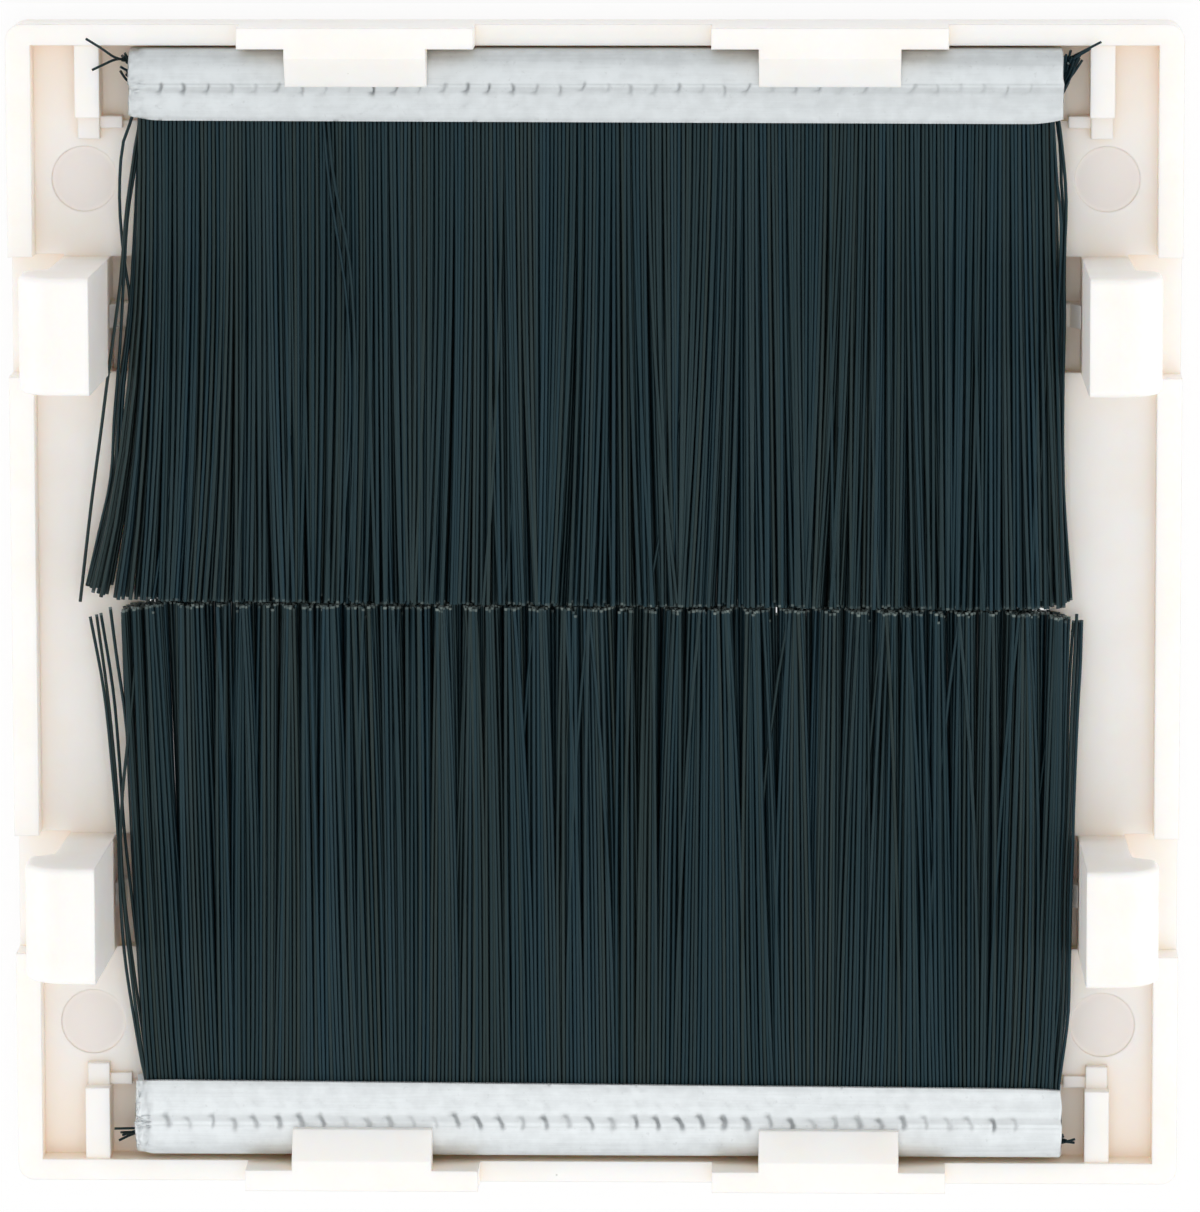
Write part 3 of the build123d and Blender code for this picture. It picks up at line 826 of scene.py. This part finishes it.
class BRUSHMODULE_OT_filaments(Operator):
    """Builds both brushes' filaments, with their clumps, ragged tips and loose strands."""

    bl_idname = "brushmodule.filaments"
    bl_label = "Build the filaments"

    # Points along the loose strands, from the channel to the tip. Two lie on top of the upper brush, and the
    # others at the brushes' edges
    upper_loose = (
        ((-19.3, 21.4, 2.9), (-19.39, 20.34, 3.0), (-19.53, 19.67, 3.05), (-19.67, 18.66, 3.1),
         (-19.83, 17.59, 3.2), (-19.97, 16.31, 3.3), (-20.08, 15.0, 3.35), (-20.18, 13.96, 3.4),
         (-20.45, 12.0, 3.4), (-20.73, 10.16, 3.3), (-21.11, 7.49, 3.1), (-21.5, 4.82, 3.0), (-22.1, 0.19, 2.7)),
        ((-19.5, 21.5, 2.9), (-19.62, 21.0, 3.0), (-19.9, 20.41, 3.05), (-20.07, 19.67, 3.05),
         (-20.17, 18.66, 3.05), (-20.2, 17.3, 3.05), (-20.14, 16.11, 3.0), (-20.0, 14.63, 2.95),
         (-19.86, 13.7, 2.9), (-19.78, 12.5, 2.85), (-20.0, 8.5, 2.85), (-20.5, 4.2, 2.85), (-21.3, 0.9, 2.8)),
        ((-19.22, 21.4, 2.8), (-19.42, 19.7, 2.95), (-19.58, 18.6, 3.0), (-19.77, 17.5, 3.05), (-19.91, 16.3, 3.1),
         (-19.99, 15.0, 3.15), (-20.06, 14.0, 3.2), (-20.18, 12.0, 3.2), (-20.37, 9.8, 3.1), (-20.53, 8.1, 3.05),
         (-20.69, 5.7, 3.0), (-21.32, 2.9, 2.9), (-21.81, 0.88, 2.7)),
        ((-19.25, 21.4, 2.6), (-19.5, 16.0, 2.7), (-19.8, 12.5, 2.95), (-20.22, 9.4, 2.9), (-20.55, 6.0, 2.85),
         (-20.82, 4.4, 2.85), (-21.4, 2.2, 2.8), (-21.7, 0.95, 2.8)),
        ((-19.35, 21.4, 2.6), (-19.6, 16.0, 2.6), (-19.88, 12.5, 2.9), (-20.32, 9.4, 2.8), (-20.72, 4.4, 2.7),
         (-21.25, 2.2, 2.7), (-21.76, 0.87, 2.7)),
        ((-19.3, 21.4, 2.9), (-19.6, 16.0, 2.9), (-19.84, 12.5, 3.1), (-20.25, 9.4, 3.0), (-20.62, 4.2, 3.0),
         (-21.1, 2.0, 2.9), (-21.58, 0.85, 2.9)),
        ((-19.3, 21.4, 2.4), (-19.5, 16.0, 2.4), (-19.8, 12.5, 2.6), (-20.18, 9.4, 2.6), (-20.5, 4.2, 2.5),
         (-20.95, 2.0, 2.5), (-21.35, 0.8, 2.5)),
        ((-19.2, 21.4, 2.9), (-19.5, 16.0, 3.0), (-19.75, 12.5, 3.1), (-20.11, 9.4, 3.1), (-20.42, 4.2, 3.0),
         (-20.8, 2.0, 3.0), (-21.15, 0.75, 3.0)),
        ((19.6, 21.5, 2.9), (19.71, 20.83, 3.0), (19.86, 19.6, 3.05), (19.99, 18.28, 3.1), (20.03, 17.14, 3.15),
         (19.99, 16.08, 3.15), (19.96, 14.31, 3.2), (19.98, 12.55, 3.2), (19.94, 9.9, 3.1), (19.97, 5.56, 3.0),
         (20.33, 0.38, 2.9)),
        ((19.52, 21.5, 2.7), (19.63, 20.83, 2.8), (19.78, 19.6, 2.85), (19.83, 18.1, 2.9), (19.92, 17.1, 2.95),
         (19.92, 16.0, 3.0), (19.87, 14.3, 3.0), (19.85, 12.5, 3.0), (19.83, 9.9, 2.9), (19.88, 5.5, 2.9),
         (20.22, 0.3, 2.8)),
        ((19.42, 21.4, 3.1), (19.54, 19.6, 3.15), (19.64, 18.2, 3.2), (19.78, 17.2, 3.3), (19.81, 15.2, 3.3),
         (19.74, 13.4, 3.25), (19.7, 9.9, 3.2), (19.75, 5.0, 3.1), (20.1, 0.3, 3.0)),
        ((-11.3, 21.4, 3.3), (-11.1, 19.0, 3.55), (-10.4, 15.0, 3.6), (-10.2, 11.5, 3.5), (-10.3, 6.0, 3.4),
         (-10.6, 0.5, 3.3)),
        ((-11.5, 21.4, 3.3), (-11.25, 18.5, 3.5), (-10.5, 13.0, 3.5), (-10.4, 9.0, 3.4), (-10.7, 4.0, 3.4),
         (-11.0, 0.5, 3.3)),
    )
    lower_loose = (
        ((-19.3, -21.4, 2.9), (-19.45, -20.7, 3.0), (-19.95, -17.8, 3.1), (-20.3, -15.2, 3.2), (-20.45, -12.5, 3.4),
         (-20.52, -10.0, 3.3), (-20.75, -7.0, 3.2), (-21.1, -3.6, 3.0), (-21.66, -0.43, 2.9)),
        ((-19.3, -21.4, 2.7), (-19.6, -18.5, 2.9), (-20.0, -15.2, 3.1), (-20.3, -12.5, 3.2), (-20.45, -10.0, 3.1),
         (-20.65, -7.0, 3.0), (-20.95, -3.8, 2.9), (-21.4, -0.35, 2.8)),
        ((-19.3, -21.4, 2.4), (-19.6, -17.0, 2.6), (-20.0, -12.5, 3.0), (-20.3, -9.6, 2.9), (-20.45, -7.0, 2.9),
         (-20.7, -3.8, 2.8), (-21.22, -0.3, 2.7)),
        ((-19.2, -21.4, 2.9), (-19.5, -16.0, 3.0), (-19.8, -12.0, 3.1), (-20.0, -7.0, 3.1), (-20.2, -4.5, 3.1),
         (-20.5, -2.4, 3.0), (-20.79, 0.0, 3.0)),
        ((-19.35, -21.4, 3.0), (-19.9, -17.0, 3.2), (-20.3, -12.8, 3.35), (-20.42, -10.5, 3.4), (-20.3, -8.0, 3.4),
         (-19.9, -4.5, 3.4), (-19.56, -0.8, 3.3)),
        ((19.85, -21.4, 2.9), (19.95, -20.4, 3.0), (20.09, -19.42, 3.05), (20.31, -17.47, 3.1),
         (20.34, -15.67, 3.15), (20.39, -12.23, 3.3), (20.46, -9.99, 3.25), (20.49, -8.5, 3.2),
         (20.56, -6.27, 3.15), (20.65, -4.04, 3.1), (20.74, -2.4, 3.05), (20.79, -0.46, 3.0)),
        ((19.8, -21.4, 2.7), (19.87, -20.4, 2.75), (19.97, -19.4, 2.8), (20.18, -17.4, 2.85), (20.22, -15.7, 2.9),
         (20.26, -12.5, 3.1), (20.36, -8.5, 3.0), (20.43, -6.3, 2.95), (20.53, -4.0, 2.9), (20.7, -0.5, 2.8)),
        ((19.75, -21.4, 3.1), (19.8, -20.4, 3.1), (19.9, -19.4, 3.1), (20.05, -17.4, 3.15), (20.1, -15.7, 3.2),
         (20.13, -12.5, 3.25), (20.27, -8.5, 3.2), (20.4, -4.0, 3.15), (20.58, -0.2, 3.0)),
        ((19.7, -21.4, 2.8), (19.76, -20.4, 2.8), (19.83, -19.4, 2.85), (19.94, -17.4, 2.9), (19.98, -15.7, 2.95),
         (20.01, -12.5, 3.05), (20.16, -8.5, 3.0), (20.27, -3.5, 2.95), (20.34, -2.0, 2.9), (20.45, -0.5, 2.9)),
        ((19.6, -21.4, 3.2), (19.67, -19.4, 3.2), (19.84, -17.4, 3.25), (19.91, -16.0, 3.3), (19.92, -12.5, 3.3),
         (20.05, -8.5, 3.3), (20.14, -3.5, 3.2), (20.25, -0.3, 3.1)),
    )

    loose_girth = 0.84  # of a loose strand against a packed filament
    girth_span = (0.94, 1.05)

    def execute(self, context):
        settings = context.scene.module_brush
        material = black_nylon(settings)
        clumpings = (settings.upper_clumping, settings.lower_clumping)
        for brush, clumping, loose in zip(BRUSHES, clumpings, (self.upper_loose, self.lower_loose)):
            rng, name = np.random.default_rng(brush.seed), brush.name
            low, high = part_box(f"{name}_channel")
            mouth = (low.y if brush.side > 0 else high.y) / MM
            packed = pack_routes(settings, rng, mouth, brush, clumping)
            strands = [smooth_route(points, settings.loose_rings) for points in loose]
            groups = []
            for girth, routes in ((1.0, packed), (self.loose_girth, strands)):
                radii = girth * settings.filament_radius / MM * rng.uniform(*self.girth_span, len(routes))
                groups.append((routes, radii))
            sides = settings.filament_sides
            piece = add_tubes(f"{name}_filaments", groups, sides, rng, brush.cut_highlight_strength, material)
            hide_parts(f"{name}_bristles")
        return {"FINISHED"}


class BRUSHMODULE_OT_end_fibres(Operator):
    """Builds the frayed fibres and folded filaments that show at the channels' open ends."""

    bl_idname = "brushmodule.end_fibres"
    bl_label = "Build the end fibres"

    # The last value is how strong the painted highlight on the fibres' cut ends is
    rings, radius, last_step, cut_highlight_strength = 16, 0.055, 0.03, 0.1
    # Folds round the core wire, in millimetres: from the channel's end, from the wire's axis, and their tails
    fold_insets, fold_reaches, tail = (0.12, 0.29, 0.46), (0.54, 0.72), 1.0

    # Points along the longest of the frayed fibres
    long_threads = {
        "upper": (
            ((-19.3, 23.2, 2.8), (-19.9, 23.45, 3.0), (-20.3, 23.6, 3.3), (-20.8, 24.0, 3.8), (-21.45, 24.46, 4.2)),
            ((-19.3, 23.3, 2.7), (-19.9, 23.5, 2.9), (-20.3, 23.5, 3.15), (-20.8, 23.3, 3.4), (-21.26, 23.09, 3.6)),
            ((19.5, 23.1, 2.8), (19.95, 23.45, 2.9), (20.4, 23.7, 3.15), (20.9, 24.0, 3.6), (21.44, 24.31, 3.9)),
            ((19.5, 22.9, 2.8), (20.05, 23.2, 3.0), (20.35, 23.6, 3.3), (20.6, 23.75, 3.4), (21.0, 24.0, 3.6)),
        ),
        "lower": (),
    }

    # Sprays of short fibres, in millimetres from the core wire's axis at the channel's end: the end's side, how
    # many fibres, the place of their roots and of their tips, and the spread of each
    sprays = {
        "upper": (
            (-1, 9, (-0.25, 0.60, 0.15), (0.25, 0.85, 0.35), 0.13, 0.13),
            (-1, 5, (-0.25, -0.05, 0.20), (0.13, 0.25, 0.30), 0.20, 0.12),
            (1, 20, (-0.25, -0.40, 0.10), (0.36, 0.85, 0.50), 0.20, 0.20),
            (1, 6, (-0.25, -0.70, 0.05), (0.10, -0.15, 0.15), 0.15, 0.12),
        ),
        "lower": (
            (-1, 7, (-0.25, 0.52, -0.25), (0.62, 0.62, -0.20), 0.14, 0.22),
            (1, 10, (-0.25, 0.60, -0.10), (0.20, 0.72, -0.05), 0.13, 0.16),
        ),
    }

    def execute(self, context):
        settings = context.scene.module_brush
        material = black_nylon(settings)
        for name, side, seed in (("upper", 1, 31), ("lower", -1, 37)):
            rng = np.random.default_rng(seed)
            low, high = (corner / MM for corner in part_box(f"{name}_channel"))
            wire_low, wire_high = (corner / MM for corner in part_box(f"{name}_core_wire"))
            axis_y, axis_z = (wire_low.y + wire_high.y) / 2, (wire_low.z + wire_high.z) / 2
            folds = []
            for end_x, way in ((low.x, -1), (high.x, 1)):
                for x in (end_x - way * inset for inset in self.fold_insets):
                    for reach in self.fold_reaches:
                        arc = [
                            (x, axis_y + side * reach * cos(turn), axis_z + reach * sin(turn))
                            for turn in np.linspace(pi / 2, -pi / 2, 7)
                        ]
                        tails = [(x, axis_y - side * self.tail, axis_z + reach * way_z) for way_z in (1, -1)]
                        folds.append(smooth_route([tails[0], *arc, tails[1]], self.rings))
            fibres = [smooth_route(points, self.rings, self.last_step) for points in self.long_threads[name]]
            for way, count, root, tip, root_spread, tip_spread in self.sprays[name]:
                end = np.array([low.x if way < 0 else high.x, axis_y, axis_z])
                scale = np.array([way, side, 1.0])
                for _ in range(count):
                    start = end + scale * (np.array(root) + rng.normal(0.0, root_spread, 3) * (0.0, 1.0, 0.6))
                    finish = end + scale * (np.array(tip) + rng.normal(0.0, tip_spread, 3))
                    middle = (start + finish) / 2 + scale * (0.08, 0.0, 0.0)
                    fibres.append(smooth_route([start, middle, finish], self.rings, self.last_step))
            fold_radii, fibre_radii = [settings.filament_radius / MM] * len(folds), [self.radius] * len(fibres)
            groups = [(folds, fold_radii), (fibres, fibre_radii)]
            add_tubes(f"{name}_end_fibres", groups, settings.filament_sides, rng, self.cut_highlight_strength, material)
        return {"FINISHED"}


class BRUSHMODULE_PT_panel(Panel):
    """Lists the steps that dress the module and the sizes and colours that they use."""

    bl_idname = "BRUSHMODULE_PT_panel"
    bl_label = "Brush Module"
    bl_space_type = "VIEW_3D"
    bl_region_type = "UI"
    bl_category = "Brush Module"

    def draw(self, context):
        for step in STEPS:
            self.layout.operator(step.bl_idname)
        for label in SETTINGS:
            box = self.layout.box()
            group = getattr(context.scene, label)
            for name in group.bl_rna.properties.keys():
                if name not in ("rna_type", "name"):
                    box.prop(group, name)


STEPS = (
    BRUSHMODULE_OT_stage,
    BRUSHMODULE_OT_moulding,
    BRUSHMODULE_OT_core_wires,
    BRUSHMODULE_OT_channels,
    BRUSHMODULE_OT_filaments,
    BRUSHMODULE_OT_end_fibres,
)
SETTINGS = {
    "module_brush": BrushSettings,
    "module_channel": ChannelSettings,
    "module_moulding": MouldingSettings,
    "module_stage": StageSettings,
}


def register():
    for kind in (*SETTINGS.values(), *STEPS, BRUSHMODULE_PT_panel):
        bpy.utils.register_class(kind)
    for label, kind in SETTINGS.items():
        setattr(bpy.types.Scene, label, PointerProperty(type=kind))


def unregister():
    for label in SETTINGS:
        delattr(bpy.types.Scene, label)
    for kind in (BRUSHMODULE_PT_panel, *STEPS, *SETTINGS.values()):
        bpy.utils.unregister_class(kind)


def main():
    register()
    bpy.ops.brushmodule.stage()
    bpy.ops.brushmodule.moulding()
    bpy.ops.brushmodule.core_wires()
    bpy.ops.brushmodule.channels()
    bpy.ops.brushmodule.filaments()
    bpy.ops.brushmodule.end_fibres()


if __name__ == "__main__":
    main()
